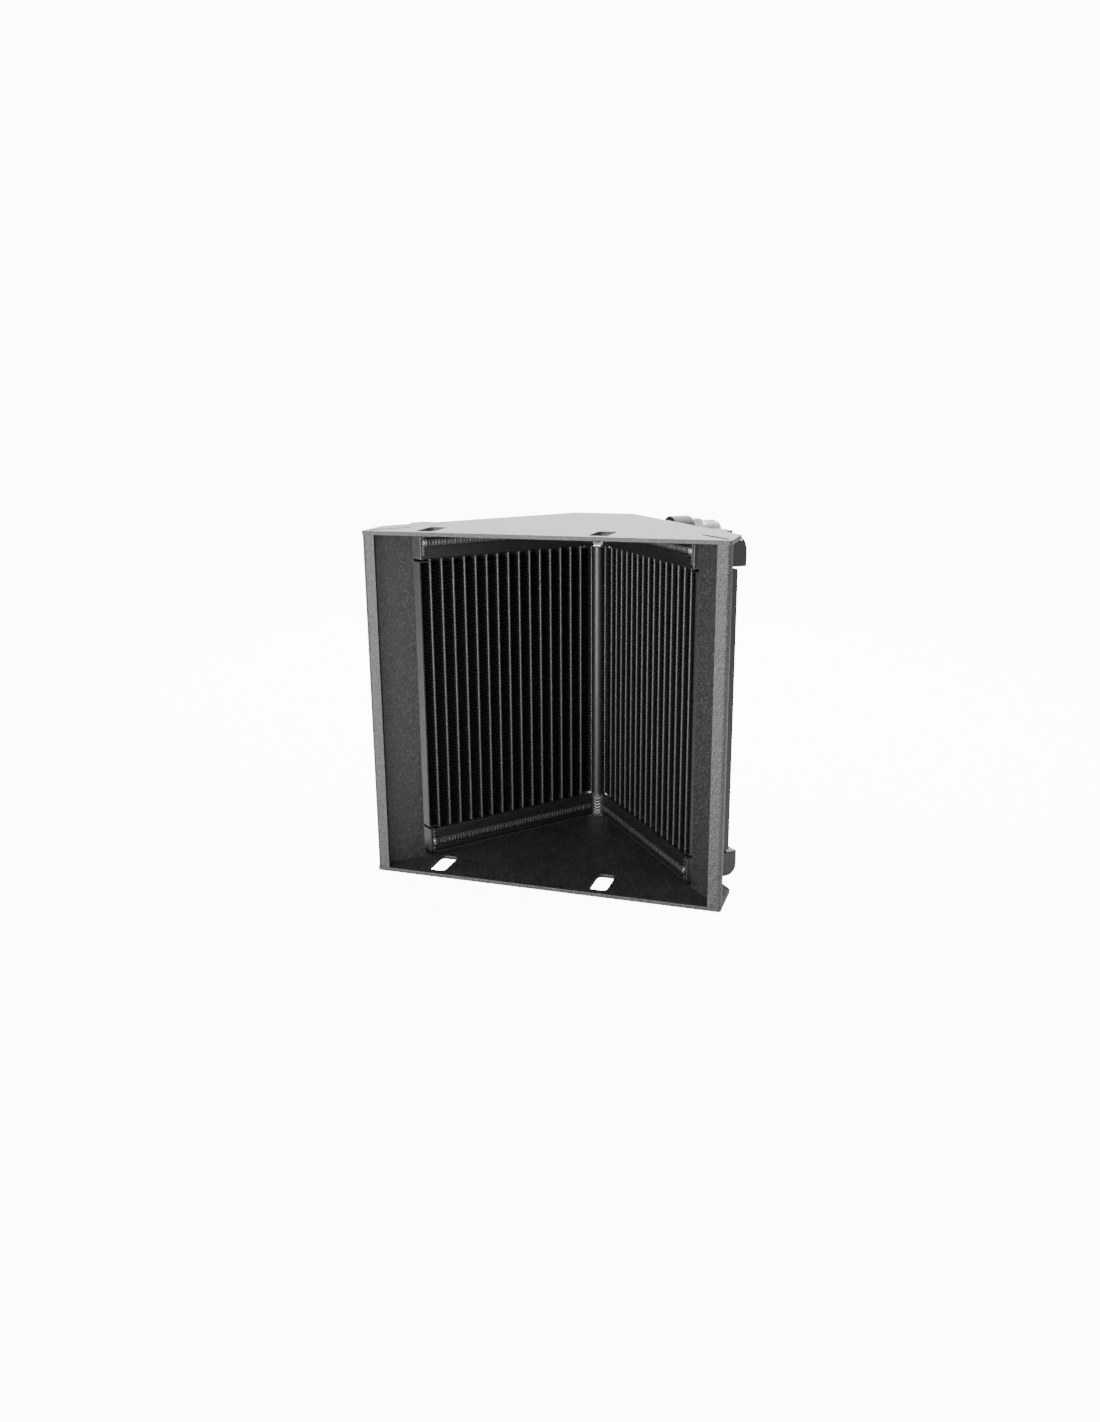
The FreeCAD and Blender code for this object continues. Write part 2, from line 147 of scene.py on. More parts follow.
class CoolerPortSizes(bpy.types.PropertyGroup):
    station: length("Port station", "Along the core from the apex to each port", 52.0)
    inlet_height: length("Inlet height", "Height of the top port's axis", 256.5)
    outlet_height: length("Outlet height", "Height of the bottom port's axis", 14.5)
    bung_radius: length("Bung radius", "Outside of the welded bung", 13.5)
    bung_length: length("Bung length", "From the tank's back to the bung's face", 9.5)
    thread_radius: length("Thread radius", "Outside of the thread", 9.5)
    thread_pitch: length("Thread pitch", "From one turn of the thread to the next", 1.5875)
    thread_depth: length("Thread depth", "How deep the thread is cut", 0.8)
    shank: length("Shank", "Threaded length inside the bung", 9.0)
    neck_radius: length("Neck radius", "Undercut that the sealing ring sits in", 8.5)
    neck: length("Neck length", "Length of the undercut", 2.4)
    hex_across: length("Hexagon", "Across the hexagon's flats", 22.2)
    hex_length: length("Hexagon length", "Thickness of the hexagon", 8.0)
    hex_chamfer: length("Hexagon chamfer", "Chamfer of the hexagon's corners", 0.8)
    male: length("Male thread", "Length of the outer thread", 14.0)
    nose: length("Nose", "Length of the cone nose", 4.0)
    nose_radius: length("Nose radius", "Radius at the tip of the cone", 7.0)
    bore: length("Bore radius", "Radius of the hole through the fitting", 5.0)


class CoolerColours(bpy.types.PropertyGroup):
    housing: colour("Housing coat", "Textured coat of the plates and side panels",
                    (0.012, 0.012, 0.0135))
    housing_light: colour("Housing speckle", "Light specks in the housing's coat",
                          (0.11, 0.109, 0.11))
    core: colour("Core coat", "Satin coat of the tanks and side plates", (0.007, 0.007, 0.008))
    # also the colour of the painted highlight along the tanks' edges
    core_light: colour("Core specks and edge highlight", "Light specks of the satin coat and painted highlight on the edges", (0.07, 0.07, 0.074))
    tube: colour("Tube coat", "Thin coat of the tubes", (0.012, 0.012, 0.014))
    fin: colour("Fin coat", "Thin matt coat of the foil", (0.004, 0.004, 0.0045))
    metal: colour("Fitting metal", "Bright machined metal", (0.86, 0.86, 0.87))
    rubber: colour("Rubber", "Sealing rings", (0.02, 0.02, 0.02))
    foam: colour("Foam", "Strips between tanks and plates", (0.03, 0.03, 0.031))
    floor: colour("Floor", "Pale floor", (0.93, 0.93, 0.93))


class CoolerStudio(bpy.types.PropertyGroup):
    camera_x: length("Camera across", "Camera's place to the right", 257.6, -5000.0, 5000.0)
    camera_y: length("Camera back", "Camera's place backwards", -759.15, -5000.0, 5000.0)
    camera_z: length("Camera height", "Camera's place upwards", 355.48, -5000.0, 5000.0)
    turn: angle("Camera turn", "How far the camera looks to the left", 18.17)
    tilt: angle("Camera tilt", "How far the camera looks down", 14.99)
    roll: angle("Camera roll", "How far the camera leans", -0.53)
    focal: FloatProperty(name="Focal length", description="Lens, for a 36 mm sensor",
                         default=28.86, unit="CAMERA")
    overhead: strength("Overhead light", "Strength of the light above", 16.0, "POWER")
    front: strength("Front light", "Strength of the light in front", 24.0, "POWER")
    rear: strength("Rear light", "Strength of the light behind", 14.0, "POWER")
    around: strength("Surrounding light", "Strength of the white surroundings", 0.75)
    paper: strength("Background", "Brightness of the background as seen", 12.0)


def in_mm(group):
    """The lengths of a settings group as plain numbers in millimetres; other settings as set."""
    values = {}
    for prop in group.bl_rna.properties:
        if prop.identifier in ("rna_type", "name"):
            continue
        value = getattr(group, prop.identifier)
        values[prop.identifier] = value / MM if prop.unit == "LENGTH" else value
    return values


class Settings:
    """All settings read once, lengths in millimetres."""

    def __init__(self, context):
        for group in ("core", "foil", "weld", "port"):
            values = in_mm(getattr(context.scene, "cooler_" + group))
            setattr(self, group, type(group, (), values))
        self.colours = context.scene.cooler_colours
        self.studio = context.scene.cooler_studio


# ---------------------------------------------------------------- surfaces

def core_start(core):
    """Cosine and sine of a core's slant, and how far back its front starts at the apex: the
    front corner of the outermost fin strip, taken back along the core."""
    low, _ = box_mm("right_core_fins")
    cos, sin = math.cos(core.angle), math.sin(core.angle)
    last = (core.tubes + 1) * core.tube_pitch - core.tube_thick / 2
    return cos, sin, low[1] + sin * last - cos * core.fin_recess


def place(core, side, station, depth, height):
    """Points of a core, in metres. x is the half gap plus the station along the slant plus the
    depth across it; y starts at the apex, falls with the station and grows with the depth."""
    cos, sin, apex = core_start(core)
    x = side * (core.half_gap + station * cos + depth * sin)
    y = apex - station * sin + depth * cos
    return np.stack(np.broadcast_arrays(x, y, height), axis=-1) * MM


def skin(rows, closed=False):
    """Vertices and faces of a closed skin over a grid of points (row, around, xyz). Each row is
    a closed ring. A quad joins each pair of neighbours; the two ends get one face each, or are
    joined to each other when the rows run round in a loop."""
    count, around = rows.shape[:2]
    at = np.arange(count * around).reshape(count, around)
    if closed:
        at = np.concatenate([at, at[:1]])
    turned = np.roll(at, -1, axis=1)
    quads = np.stack([at[:-1], turned[:-1], turned[1:], at[1:]], axis=-1).reshape(-1, 4)
    ends = [] if closed else [at[0][::-1].tolist(), at[-1].tolist()]
    return rows.reshape(-1, 3), quads.tolist() + ends


def make_piece(name, skins, material, smooth=30.0):
    """One object from several closed skins, with its faces turned outwards, riding on the body."""
    points, faces, start = [], [], 0
    for vertices, polygons in skins:
        points.append(vertices)
        faces += [[start + i for i in polygon] for polygon in polygons]
        start += len(vertices)
    mesh = bpy.data.meshes.new(name)
    mesh.from_pydata(np.concatenate(points).tolist(), [], faces)
    shell = bmesh.new()
    shell.from_mesh(mesh)
    bmesh.ops.recalc_face_normals(shell, faces=shell.faces)
    shell.to_mesh(mesh)
    shell.free()
    mesh.update()
    piece = bpy.data.objects.new(name, mesh)
    bpy.context.scene.collection.objects.link(piece)
    mesh.materials.append(material)
    mesh.shade_smooth()
    mesh.set_sharp_from_angle(angle=math.radians(smooth))
    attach(piece, "root")
    return piece


def note(piece, name, values):
    """Keeps a number for every point of a piece, for its material to read."""
    attribute = piece.data.attributes.new(name, "FLOAT", "POINT")
    attribute.data.foreach_set("value", np.concatenate([v.ravel() for v in values]))


def lift(level, height):
    """Height of a bottom tank's feature, or of the same feature of the tank above it."""
    low, high = CAD_BOX
    return height if level == "bottom" else (high[2] - low[2]) / MM - height


def foil(core, fold, side, strip):
    """Folded foil between two tubes, and how near each point is to a fold's front tip. Across,
    the fold is a triangle wave with round crests, asin(0.97 sin u); upwards it climbs evenly,
    slower on the legs and faster over the crests. The sheet is offset half its thickness to
    both sides along its normal, and bent up in the middle of its depth. The nearness is the
    cube of the way across on the front edge, and 0 behind it."""
    low, high = box_mm(side + "_core_fins")
    waves = round((high[2] - low[2] - fold.thick) / fold.wave)
    u = np.linspace(0.0, waves, waves * fold.steps + 1)
    half = (core.tube_pitch - core.tube_thick - fold.thick) / 2
    across = half * np.arcsin(0.97 * np.sin(2 * np.pi * u)) / math.asin(0.97)
    pitch = (high[2] - low[2] - fold.thick - fold.ripple) / waves
    up = low[2] + fold.thick / 2 + pitch * (u - 0.45 * np.sin(4 * np.pi * u) / (4 * np.pi))
    run, climb = np.gradient(across), np.gradient(up)
    size = np.hypot(run, climb)
    normal = np.stack([climb / size, -run / size]) * fold.thick / 2
    depths = np.linspace(core.fin_recess, core.depth - core.fin_recess, 3)
    bend, near = np.array([0.0, fold.ripple, 0.0]), np.array([1.0, 0.0, 0.0])
    depth, lean, near = (np.concatenate([v, v[::-1]]) for v in (depths, bend, near))
    sign = np.repeat([1.0, -1.0], 3)
    station = core.tube_pitch * (strip + 0.5) + across[:, None] + normal[0][:, None] * sign
    height = up[:, None] + normal[1][:, None] * sign + lean
    sign_x = dict(SIDES)[side]
    rows = place(core, sign_x, station, np.broadcast_to(depth, station.shape), height)
    crest = np.clip(np.abs(across) / half, 0.0, 1.0)[:, None] ** 3
    return rows, crest * near


def wobble(along, seed):
    """Small unevenness of hand work: three sine waves that never line up, from -1 to 1."""
    return (np.sin(along * 0.83 + seed) + np.sin(along * 1.37 + 2.1 * seed)
            + np.sin(along * 0.29 + 4.7 * seed)) / 3.0


RIPPLE_BOW = 0.55       # ripples that a ripple's edges lag behind its middle
RIPPLE_POWER = 0.6      # below 1 the ripples are round with narrow valleys
CREST_POWER = 6         # how much narrower the crest's painted highlight is than its ripple
KNOB_REACH = 2.2        # millimetres along the bead
FOOT_SUNK = 0.5         # millimetres that a bead's foot lies below the surface


def bead(centre, out, across, width, rise, weld, knobs=(), closed=False, seed=1.0):
    """Weld bead along a line, and how near each point is to a ripple's crest. Every row is half
    an ellipse that stands out of the surface, closed by two points sunk below it. Ripples cut
    the ellipse by 1 - |sin(pi u)|^power, where u counts ripples along the line and lags with
    the square of the distance from the middle, which bows them. Knobs swell the bead at a place
    along it by a bell curve, and open ends are rounded off by a quarter circle."""
    steps = np.linalg.norm(np.diff(centre, axis=0), axis=1) / MM
    along = np.concatenate([[0.0], np.cumsum(steps)])
    total = along[-1] + (np.linalg.norm(centre[0] - centre[-1]) / MM if closed else 0.0)
    ripples = max(1, round(total / weld.ripple))
    turn = np.linspace(0.0, np.pi, 11)
    v, dome = -np.cos(turn), np.sin(turn)
    u = along[:, None] * ripples / total - RIPPLE_BOW * v ** 2
    ripple = np.abs(np.sin(np.pi * u)) ** RIPPLE_POWER
    swell = np.zeros(len(along))
    for place_along, amount in knobs:
        swell += amount * np.exp(-((along - place_along) / KNOB_REACH) ** 2)
    uneven = wobble(along, seed)
    half = width / 2 * (1 + 0.05 * uneven + 0.25 * swell)
    high = rise * (1 + 0.12 * uneven + swell)
    if not closed:
        end = np.clip(np.minimum(along, total - along) / (width / 2), 0.02, 1.0)
        fade = np.sqrt(1 - (1 - end) ** 2)
        high, half = high * fade, half * (0.35 + 0.65 * fade)
    lifted = high[:, None] * dome * (1 - weld.ripple_depth * (1 - ripple))
    side_way = half[:, None] * v
    back = np.stack([half * 0.8, -half * 0.8], axis=-1)
    side_way = np.concatenate([side_way, back], axis=1)
    lifted = np.concatenate([lifted, np.full_like(back, -FOOT_SUNK)], axis=1)
    crest = np.concatenate([ripple ** CREST_POWER * dome, np.zeros_like(back)], axis=1)
    rows = (centre[:, None] + across[:, None] * side_way[..., None] * MM
            + out[:, None] * lifted[..., None] * MM)
    return rows, crest


def core_ways(core, side):
    """Unit vectors along a core's station and depth."""
    cos, sin = math.cos(core.angle), math.sin(core.angle)
    return np.array([side * cos, -sin, 0.0]), np.array([side * sin, cos, 0.0])


def level_line(core, side, stations, depth, height, out_sign):
    """Centre line of a bead along a tank's front (out_sign -1) or back (1)."""
    _, deep = core_ways(core, side)
    centre = place(core, side, stations, np.full_like(stations, depth), height)
    out = np.broadcast_to(deep * out_sign, centre.shape)
    return centre, out, np.broadcast_to((0.0, 0.0, 1.0), centre.shape)


def tank_outline(core, step):
    """A tank's outline in depth and height, sampled evenly: straight sides joined by quarter
    circles of each corner's own radius, with the outward normal at each point."""
    low_d, high_d = -core.front_over, core.depth + core.back_over
    corners = ((low_d, core.tank_low, core.front_round, 180.0),
               (high_d, core.tank_low, core.back_round, 270.0),
               (high_d, core.header_top, core.header_round, 0.0),
               (low_d, core.header_top, core.header_round, 90.0))
    pieces = []
    for d, z, radius, start in corners:
        angle = np.radians(start + np.linspace(0.0, 90.0, 13))
        mid_d = d + (radius if d == low_d else -radius)
        mid_z = z + (radius if z == core.tank_low else -radius)
        pieces.append(np.stack([mid_d + radius * np.cos(angle), mid_z + radius * np.sin(angle)],
                               axis=-1))
    line = np.concatenate(pieces + [pieces[0][:1]])
    along = np.concatenate([[0.0], np.cumsum(np.linalg.norm(np.diff(line, axis=0), axis=1))])
    even = np.linspace(0.0, along[-1], round(along[-1] / step), endpoint=False)
    points = np.stack([np.interp(even, along, line[:, i]) for i in range(2)], axis=-1)
    forward = np.roll(points, -1, axis=0) - np.roll(points, 1, axis=0)
    forward /= np.linalg.norm(forward, axis=1)[:, None]
    return points, np.stack([forward[:, 1], -forward[:, 0]], axis=-1)


def upright_line(x, y, low, high, out, across, step=0.34):
    """Centre line of a bead that climbs straight up."""
    heights = np.arange(low, high, step)
    centre = np.stack([np.full_like(heights, x), np.full_like(heights, y), heights], -1) * MM
    return centre, np.broadcast_to(out, centre.shape), np.broadcast_to(across, centre.shape)


def bung_arc(core, port, side, level, height, sign):
    """Centre line of the bead in the corner between a bung and its tank. It follows the bung's
    circle where that crosses the tank's back, and dips with the tank's rounded edge; it points
    halfway between the tank's normal and the bung's."""
    local = height if level == "bottom" else lift(level, height)
    rise = np.clip((np.array([core.tank_low + 1.2, core.header_top - 1.8]) - local)
                   / port.bung_radius, -1, 1)
    angle = np.linspace(math.asin(rise[0]), math.asin(rise[1]), 90)
    z = local + port.bung_radius * np.sin(angle)
    round_mid = core.tank_low + core.back_round
    drop = np.clip(round_mid - z, 0.0, None)
    fall = core.back_round - np.sqrt(core.back_round ** 2 - drop ** 2)
    depth = core.depth + core.back_over - fall
    station = port.station + sign * port.bung_radius * np.cos(angle)
    along, deep = core_ways(core, side)
    up = np.array([0.0, 0.0, 1.0 if level == "bottom" else -1.0])
    tilt = drop / core.back_round
    normal = deep * np.sqrt(1 - tilt ** 2)[:, None] - up * tilt[:, None]
    radial = along * (sign * np.cos(angle))[:, None] + up * np.sin(angle)[:, None]
    out = normal + radial
    out /= np.linalg.norm(out, axis=1)[:, None]
    centre = place(core, side, station, depth, lift(level, z))
    forward = np.gradient(centre, axis=0)
    across = np.cross(forward, out)
    across /= np.linalg.norm(across, axis=1)[:, None]
    return centre, out, across


def fitting_rows(core, port, side, height):
    """Adapter turned from one bar: rows run out along its outside and back through its bore.
    The radius is the thread's, less a V groove whose phase turns once per pitch; the neck's;
    the hexagon's, across / 2 / cos of the angle from the nearest flat, cut off by a 45 degree
    chamfer; and the cone's. Returned with each point's distance along the axis."""
    shoulder = port.bung_length
    male = shoulder + port.hex_length
    tip = male + port.male
    angle = np.linspace(0.0, 2 * np.pi, 96, endpoint=False)

    def thread(start, stop, step, crest):
        t = np.linspace(start, stop, round((stop - start) / step))
        phase = (t[:, None] / port.thread_pitch + angle / (2 * np.pi)) % 1.0
        groove = np.clip(1 - np.abs(2 * phase - 1) * 1.25, 0.0, 1.0)
        run_out = np.clip(np.minimum(t - start, stop - t) / port.thread_pitch, 0.0, 1.0)
        return t, crest - port.thread_depth * groove * run_out[:, None]

    def turned(stations, radii):
        return np.array(stations), np.repeat(np.array(radii)[:, None], len(angle), axis=1)

    ramp = np.linspace(0.0, 1.1, 5)
    hex_t = np.concatenate([shoulder + ramp, male - ramp[::-1]])
    flat = port.hex_across / 2 / np.cos(angle % (np.pi / 3) - np.pi / 6)
    cut = port.hex_across / 2 + port.hex_chamfer + np.minimum(hex_t - shoulder, male - hex_t)
    sections = [
        turned([shoulder - port.shank], [port.bore + 1.5]),
        thread(shoulder - port.shank, shoulder - port.neck, 0.3, port.thread_radius),
        turned([shoulder - port.neck, shoulder], [port.neck_radius, port.neck_radius]),
        (hex_t, np.minimum(flat[None], cut[:, None])),
        turned([male], [port.thread_radius]),
        thread(male, tip, 0.11, port.thread_radius),
        turned([tip + port.nose * 0.94, tip + port.nose],
               [port.nose_radius + 0.15, port.nose_radius - 0.25]),
        turned([tip + port.nose, tip + port.nose - 0.5, shoulder - port.shank],
               [port.bore + 0.5, port.bore, port.bore]),
    ]
    t = np.concatenate([s[0] for s in sections])[:, None]
    radius = np.concatenate([s[1] for s in sections])
    station = port.station + radius * np.cos(angle)
    depth = core.depth + core.back_over + t + 0 * radius
    return (place(core, side, station, depth, height + radius * np.sin(angle)),
            np.broadcast_to(t, radius.shape))


# ---------------------------------------------------------------- materials

class Wiring:
    """Adds nodes to a tree and joins them. A value that is a socket is joined, and any other is
    set on the socket itself."""

    def __init__(self, tree):
        self.tree = tree
        self.count = 0

    def add(self, kind, sockets, **settings):
        node = self.tree.nodes.new(kind)
        node.location = (self.count * 190 - 1500, 140 * (self.count % 3))
        self.count += 1
        for key, value in settings.items():
            setattr(node, key, value)
        for key, value in sockets.items():
            if isinstance(value, bpy.types.NodeSocket):
                self.tree.links.new(value, node.inputs[key])
            else:
                node.inputs[key].default_value = value
        return node

    def maths(self, operation, *values, clamp=False):
        node = self.add("ShaderNodeMath", dict(enumerate(values)), operation=operation)
        node.use_clamp = clamp
        return node.outputs[0]

    def blend(self, factor, first, second, how="MIX"):
        node = self.add("ShaderNodeMix", {0: factor, 6: first, 7: second}, data_type="RGBA",
                        blend_type=how)
        return node.outputs[2]

    def noise(self, vector, scale, detail=2.0, rough=0.5):
        node = self.add("ShaderNodeTexNoise", {"Vector": vector, "Scale": scale,
                                               "Detail": detail, "Roughness": rough})
        return node.outputs["Fac"]

    def span(self, value, low, high, to_low=0.0, to_high=1.0):
        node = self.add("ShaderNodeMapRange", {0: value, 1: low, 2: high, 3: to_low, 4: to_high})
        return node.outputs[0]


def new_group(name, takes, gives):
    """A shader node group with named sockets; returns it with its wiring, inputs and output."""
    group = bpy.data.node_groups.new(name, "ShaderNodeTree")
    for label, kind, default in takes:
        socket = group.interface.new_socket(label, in_out="INPUT",
                                            socket_type="NodeSocket" + kind)
        if default is not None:
            socket.default_value = default
    for label, kind in gives:
        group.interface.new_socket(label, in_out="OUTPUT", socket_type="NodeSocket" + kind)
    wire = Wiring(group)
    inputs = wire.add("NodeGroupInput", {}).outputs
    return group, wire, inputs


def finish_group(wire, **gives):
    wire.add("NodeGroupOutput", {name.replace("_", " "): value for name, value in gives.items()})


def coat_grain_group():
    """Grain of a textured coat: fine grain broken up by larger clumps, with light specks."""
    group, wire, given = new_group(
        "Coat grain",
        (("Vector", "Vector", None), ("Grain Scale", "Float", 900.0),
         ("Clump Scale", "Float", 120.0), ("Specks", "Float", 0.4),
         ("Coat", "Color", (0.1, 0.1, 0.1, 1)), ("Speck Color", "Color", (0.3, 0.3, 0.3, 1))),
        (("Color", "Color"), ("Roughness", "Float"), ("Height", "Float")))
    fine = wire.noise(given["Vector"], given["Grain Scale"], 2.0, 0.6)
    clump = wire.noise(given["Vector"], given["Clump Scale"], 3.0)
    speck = wire.span(fine, 0.48, 0.72)
    patch = wire.span(clump, 0.3, 0.7, 0.45, 1.3)
    amount = wire.maths("MULTIPLY", wire.maths("MULTIPLY", speck, patch), given["Specks"],
                        clamp=True)
    dark = wire.blend(wire.span(fine, 0.3, 0.55, 0.55, 0.0), given["Coat"],
                      (0.004, 0.004, 0.004, 1))
    tone = wire.blend(amount, dark, given["Speck Color"])
    rough = wire.maths("ADD", wire.maths("MULTIPLY", clump, 0.22),
                       wire.maths("MULTIPLY", fine, 0.2))
    height = wire.maths("ADD", wire.maths("MULTIPLY", fine, 0.75),
                        wire.maths("MULTIPLY", clump, 0.25))
    finish_group(wire, Color=tone, Roughness=wire.maths("ADD", rough, 0.22), Height=height)
    return group


def edge_highlight_group():
    """Painted highlight along edges: the surface's normal is compared with the same normal
    rounded off, and the difference is broken up by noise."""
    group, wire, given = new_group(
        "Edge rub",
        (("Vector", "Vector", None), ("Width", "Float", 0.0006), ("Amount", "Float", 0.6),
         ("Color", "Color", (0.1, 0.1, 0.1, 1)), ("Rub Color", "Color", (0.4, 0.4, 0.4, 1))),
        (("Color", "Color"), ("Mask", "Float")))
    soft = wire.add("ShaderNodeBevel", {"Radius": given["Width"]}, samples=4).outputs[0]
    sharp = wire.add("ShaderNodeNewGeometry", {}).outputs["Normal"]
    match = wire.add("ShaderNodeVectorMath", {0: soft, 1: sharp}, operation="DOT_PRODUCT")
    edge = wire.span(match.outputs["Value"], 0.998, 0.85)
    broken = wire.span(wire.noise(given["Vector"], 260.0, 4.0, 0.65), 0.32, 0.6, 0.25, 1.0)
    mask = wire.maths("MULTIPLY", wire.maths("MULTIPLY", edge, broken), given["Amount"],
                      clamp=True)
    finish_group(wire, Color=wire.blend(mask, given["Color"], given["Rub Color"]), Mask=mask)
    return group


def dust_group():
    """Fine dust that lies on faces that point up, thicker in patches."""
    group, wire, given = new_group(
        "Dust",
        (("Vector", "Vector", None), ("Amount", "Float", 0.2),
         ("Color", "Color", (0.1, 0.1, 0.1, 1)), ("Dust Color", "Color", (0.45, 0.44, 0.42, 1))),
        (("Color", "Color"), ("Mask", "Float")))
    normal = wire.add("ShaderNodeNewGeometry", {}).outputs["Normal"]
    up = wire.add("ShaderNodeSeparateXYZ", {0: normal}).outputs["Z"]
    level = wire.span(up, 0.3, 0.95)
    patch = wire.span(wire.noise(given["Vector"], 38.0, 5.0, 0.62), 0.35, 0.72, 0.15, 1.0)
    mask = wire.maths("MULTIPLY", wire.maths("MULTIPLY", level, patch), given["Amount"],
                      clamp=True)
    finish_group(wire, Color=wire.blend(mask, given["Color"], given["Dust Color"]), Mask=mask)
    return group


def front_fade_group():
    """Mask that is 1 at a core's front and fades through its depth, the same on both cores:
    the depth is the dot product of |x|, |y|, |z| with the core's way in, less a start."""
    group, wire, given = new_group(
        "Front fade",
        (("Vector", "Vector", None), ("Way In", "Vector", (0.777, 0.629, 0.0)),
         ("Start", "Float", 0.1), ("Reach", "Float", 0.001)),
        (("Mask", "Float"),))
    both = wire.add("ShaderNodeVectorMath", {0: given["Vector"]}, operation="ABSOLUTE")
    deep = wire.add("ShaderNodeVectorMath", {0: both.outputs[0], 1: given["Way In"]},
                    operation="DOT_PRODUCT").outputs["Value"]
    past = wire.maths("SUBTRACT", deep, given["Start"])
    share = wire.maths("DIVIDE", past, given["Reach"], clamp=True)
    finish_group(wire, Mask=wire.maths("SUBTRACT", 1.0, share))
    return group


GROUPS = {}


def use_group(wire, name, sockets):
    makers = {"Coat grain": coat_grain_group, "Edge rub": edge_highlight_group, "Dust": dust_group,
              "Front fade": front_fade_group}
    if name not in GROUPS:
        GROUPS[name] = makers[name]()
    return wire.add("ShaderNodeGroup", sockets, node_tree=GROUPS[name]).outputs


def coat_grain(wire, where, grain_scale, clump_scale, specks, coat, speck_colour):
    return use_group(wire, "Coat grain", {
        "Vector": where, "Grain Scale": grain_scale, "Clump Scale": clump_scale,
        "Specks": specks, "Coat": coat, "Speck Color": speck_colour})


def broken_mask(wire, mask, where, scale, low, high, least):
    """A mask broken up by noise, which leaves at least the given share of it."""
    return wire.maths("MULTIPLY", mask,
                      wire.span(wire.noise(where, scale, 3.0), low, high, least, 1.0))


def new_material(name, **shader):
    """A material with a Principled shader whose even values sit on its own sockets; returns the
    material, its wiring, its shader's inputs and its Object coordinates."""
    material = bpy.data.materials.new(name)
    material.use_nodes = True
    wire = Wiring(material.node_tree)
    surface = material.node_tree.nodes["Principled BSDF"].inputs
    for key, value in shader.items():
        surface[key.replace("_", " ")].default_value = value
    where = wire.add("ShaderNodeTexCoord", {}).outputs["Object"]
    return material, wire, surface, where


def join(wire, surface, **sockets):
    for key, value in sockets.items():
        wire.tree.links.new(value, surface[key.replace("_", " ")])


def bump(wire, height, strength, distance):
    return wire.add("ShaderNodeBump", {"Height": height, "Strength": strength,
                                       "Distance": distance}).outputs[0]


def housing_coat(colours):
    """Textured powder coat of the sheet housing: grain, light specks, painted edge highlight,
    dust.
    """
    material, wire, surface, where = new_material("Housing coat", Specular_IOR_Level=0.95)
    grain = coat_grain(wire, where, 900.0, 420.0, 0.7, colours.housing, colours.housing_light)
    # painted highlight along the edges, in (0.2, 0.2, 0.205)
    edge_highlight = use_group(wire, "Edge rub", {"Vector": where, "Width": 0.0007, "Amount": 0.55,
                                       "Color": grain["Color"], "Rub Color": (0.2, 0.2, 0.205, 1)})
    dust = use_group(wire, "Dust", {"Vector": where, "Amount": 0.05, "Color": edge_highlight["Color"]})
    join(wire, surface, Base_Color=dust["Color"], Roughness=grain["Roughness"],
         Normal=bump(wire, grain["Height"], 0.9, 0.0008))
    return material


def core_coat(colours):
    """Satin coat of the tanks: slight orange peel, a painted highlight along the edges."""
    material, wire, surface, where = new_material("Tank coat", Specular_IOR_Level=0.75)
    grain = coat_grain(wire, where, 1100.0, 210.0, 0.12, colours.core, colours.core_light)
    # painted highlight along the edges, in the core's speck colour
    edge = use_group(wire, "Edge rub", {"Vector": where, "Width": 0.0006, "Amount": 0.5,
                                        "Color": grain["Color"], "Rub Color": colours.core_light})
    dust = use_group(wire, "Dust", {"Vector": where, "Amount": 0.03, "Color": edge["Color"]})
    join(wire, surface, Base_Color=dust["Color"], Roughness=grain["Roughness"],
         Normal=bump(wire, grain["Height"], 0.25, 0.0004))
    return material


def tube_coat(colours, core):
    """Thin coat of the flat tubes, lighter on their round noses."""
    cos, sin, apex = core_start(core)
    material, wire, surface, where = new_material("Tube coat", Specular_IOR_Level=0.7)
    nose = use_group(wire, "Front fade", {
        "Vector": where, "Way In": (sin, cos, 0.0),
        "Start": (core.half_gap * sin + apex * cos) * MM, "Reach": 0.0013})
    grain = coat_grain(wire, where, 1300.0, 300.0, 0.25, colours.tube, colours.core_light)
    # the noses are painted lighter, towards (0.06, 0.06, 0.063), fading through the depth
    lighter_nose = broken_mask(wire, nose["Mask"], where, 420.0, 0.35, 0.65, 0.35)
    join(wire, surface, Base_Color=wire.blend(lighter_nose, grain["Color"], (0.06, 0.06, 0.063, 1)),
         Roughness=grain["Roughness"],
         Normal=bump(wire, grain["Height"], 0.3, 0.0003))
    return material


def foil_coat(colours):
    """Matt coat of the foil, rubbed thin on the folds' front tips."""
    material, wire, surface, where = new_material("Foil coat", Specular_IOR_Level=0.35)
    near = wire.add("ShaderNodeAttribute", {}, attribute_name="near").outputs["Fac"]
    grain = coat_grain(wire, where, 1500.0, 260.0, 0.1, colours.fin, colours.core_light)
    lightened = broken_mask(wire, wire.span(near, 0.72, 0.98), where, 350.0, 0.35, 0.65, 0.35)
    join(wire, surface, Base_Color=wire.blend(lightened, grain["Color"], (0.3, 0.3, 0.31, 1)),
         Roughness=wire.maths("ADD", grain["Roughness"], 0.15, clamp=True),
         Normal=bump(wire, grain["Height"], 0.2, 0.0002))
    return material


def weld_coat(colours):
    """The tanks' coat over weld beads, with a painted highlight on the crest of each ripple."""
    material, wire, surface, where = new_material("Weld coat", Specular_IOR_Level=1.0)
    crest = wire.add("ShaderNodeAttribute", {}, attribute_name="crest").outputs["Fac"]
    grain = coat_grain(wire, where, 1200.0, 240.0, 0.15, colours.core, colours.core_light)
    lightened = broken_mask(wire, wire.span(crest, 0.45, 0.95), where, 300.0, 0.35, 0.7, 0.4)
    # painted highlight: the ripples' crests are lightened towards (0.24, 0.24, 0.245)
    join(wire, surface, Base_Color=wire.blend(lightened, grain["Color"], (0.24, 0.24, 0.245, 1)),
         Roughness=wire.maths("SUBTRACT", grain["Roughness"], 0.08, clamp=True),
         Normal=bump(wire, grain["Height"], 0.2, 0.0003))
    return material


